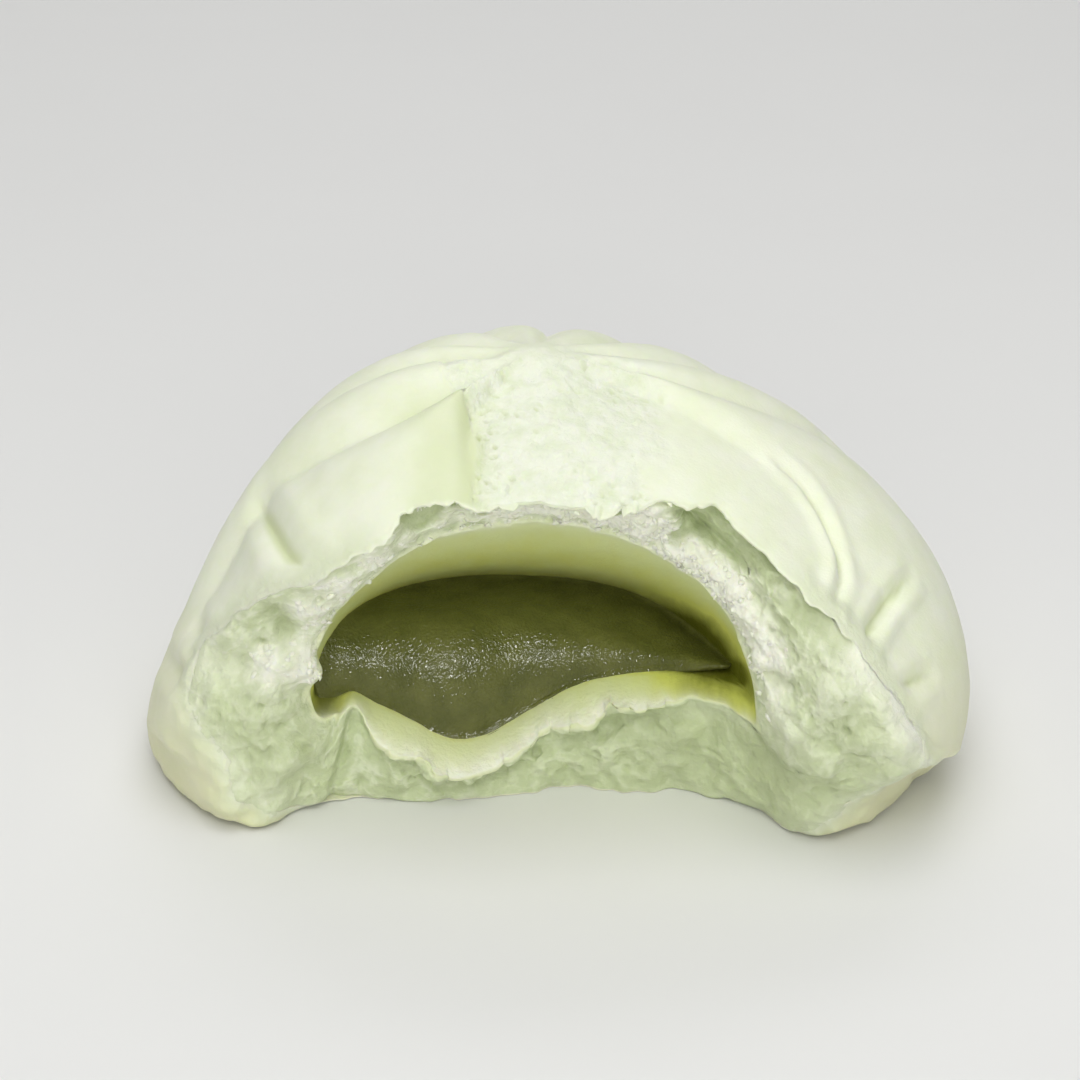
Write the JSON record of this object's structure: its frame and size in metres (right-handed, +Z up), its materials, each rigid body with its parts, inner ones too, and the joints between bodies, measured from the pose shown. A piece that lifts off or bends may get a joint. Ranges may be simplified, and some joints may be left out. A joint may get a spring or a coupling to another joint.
{
  "type": "kaya steamed bun",
  "caption": "Domed, pleated steamed bun of pale green dough, torn open at the front over a pocket of dark, glossy coconut jam.",
  "frame": {"origin": "centre of the bun's outline box, at the height of its flat foot", "axes": "+X to the right as seen from the torn side, -Y towards the viewer of the torn side, +Z up"},
  "size_m": [0.1006, 0.0799, 0.0521],
  "materials": {
    "dough": "matte steamed dough, pale green",
    "kaya": "glossy coconut jam, dark olive"
  },
  "bodies": {
    "root": {"dough": "dough", "kaya_filling": "kaya"}
  },
  "joints": []
}
